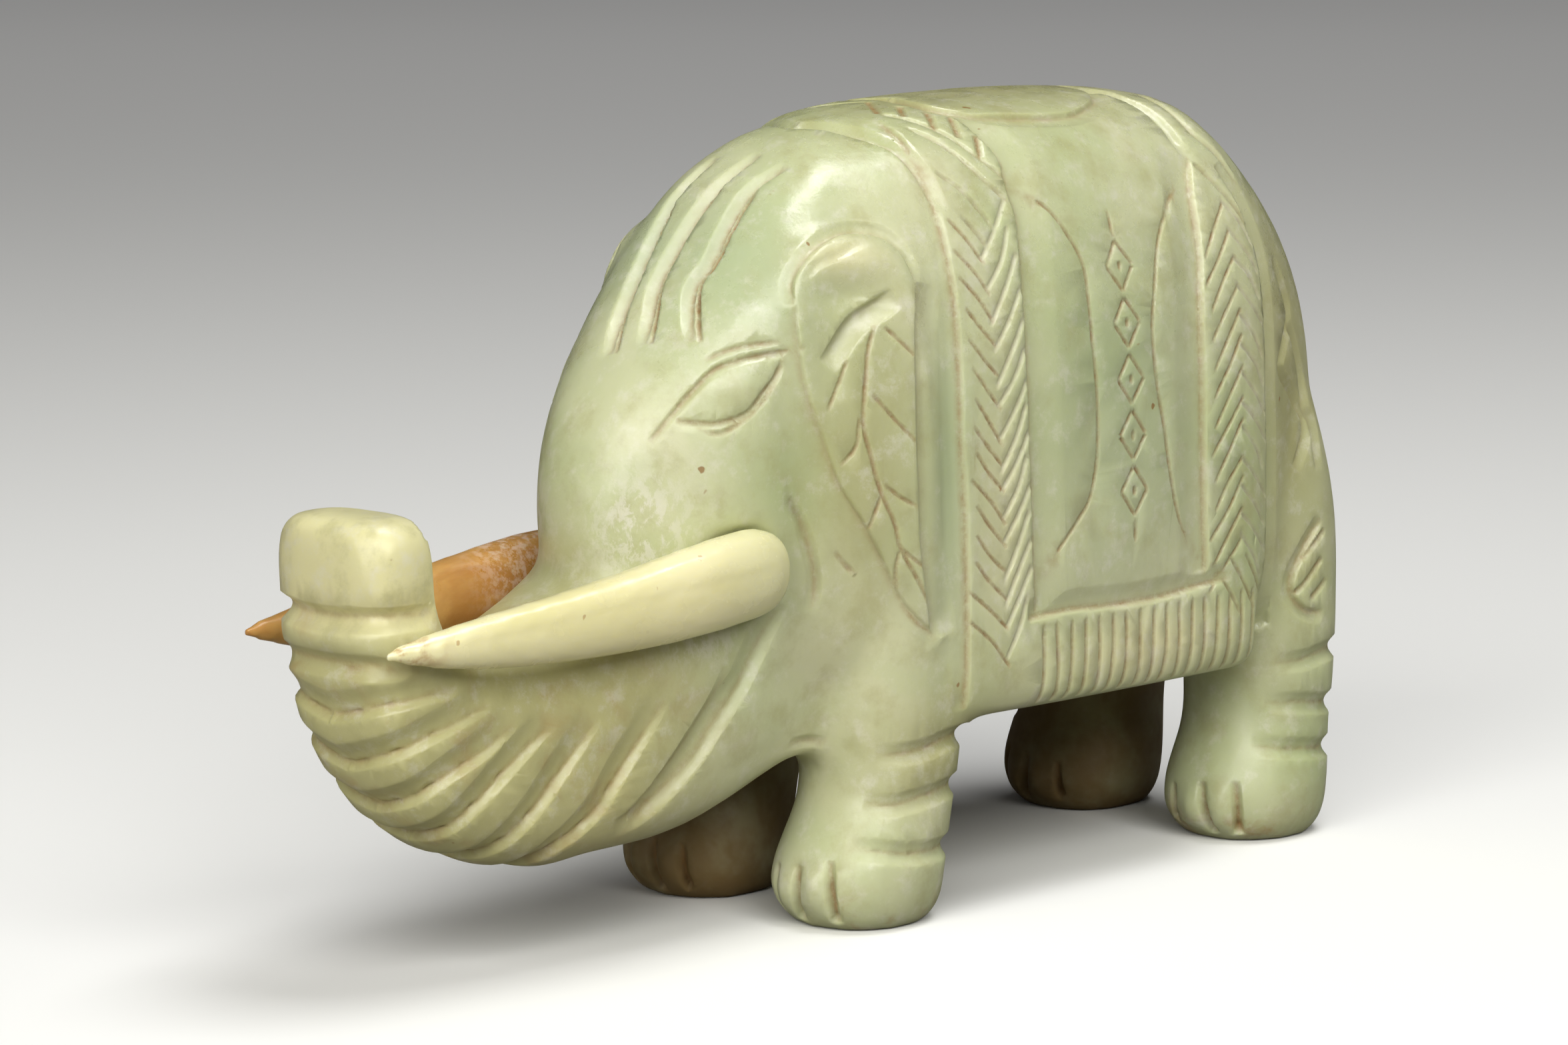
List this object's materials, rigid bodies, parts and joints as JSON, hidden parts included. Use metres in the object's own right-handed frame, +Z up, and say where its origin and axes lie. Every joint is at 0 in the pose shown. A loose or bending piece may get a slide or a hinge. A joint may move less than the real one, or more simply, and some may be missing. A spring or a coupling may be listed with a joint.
{
  "type": "carved jade elephant figurine",
  "caption": "Small carved pale green stone elephant with raised curled trunk, fringed saddle cloth in low relief and inset pale tusks, standing on flat soles.",
  "frame": {"origin": "on the ground under the middle of the figure's box, at the level of the four soles", "axes": "+Z up, -X the way the elephant faces, -Y its left flank"},
  "size_m": [0.093, 0.0286, 0.0564],
  "materials": {
    "celadon_jade": "polished waxy pale green nephrite, matt with brown dirt in the engraved lines",
    "pale_yellow_jade": "polished waxy pale yellow-green stone",
    "russet_jade": "polished russet-brown stone with a dusty matt root"
  },
  "bodies": {
    "root": {"carved_elephant": "celadon_jade", "left_tusk": "pale_yellow_jade", "right_tusk": "russet_jade"}
  },
  "joints": []
}
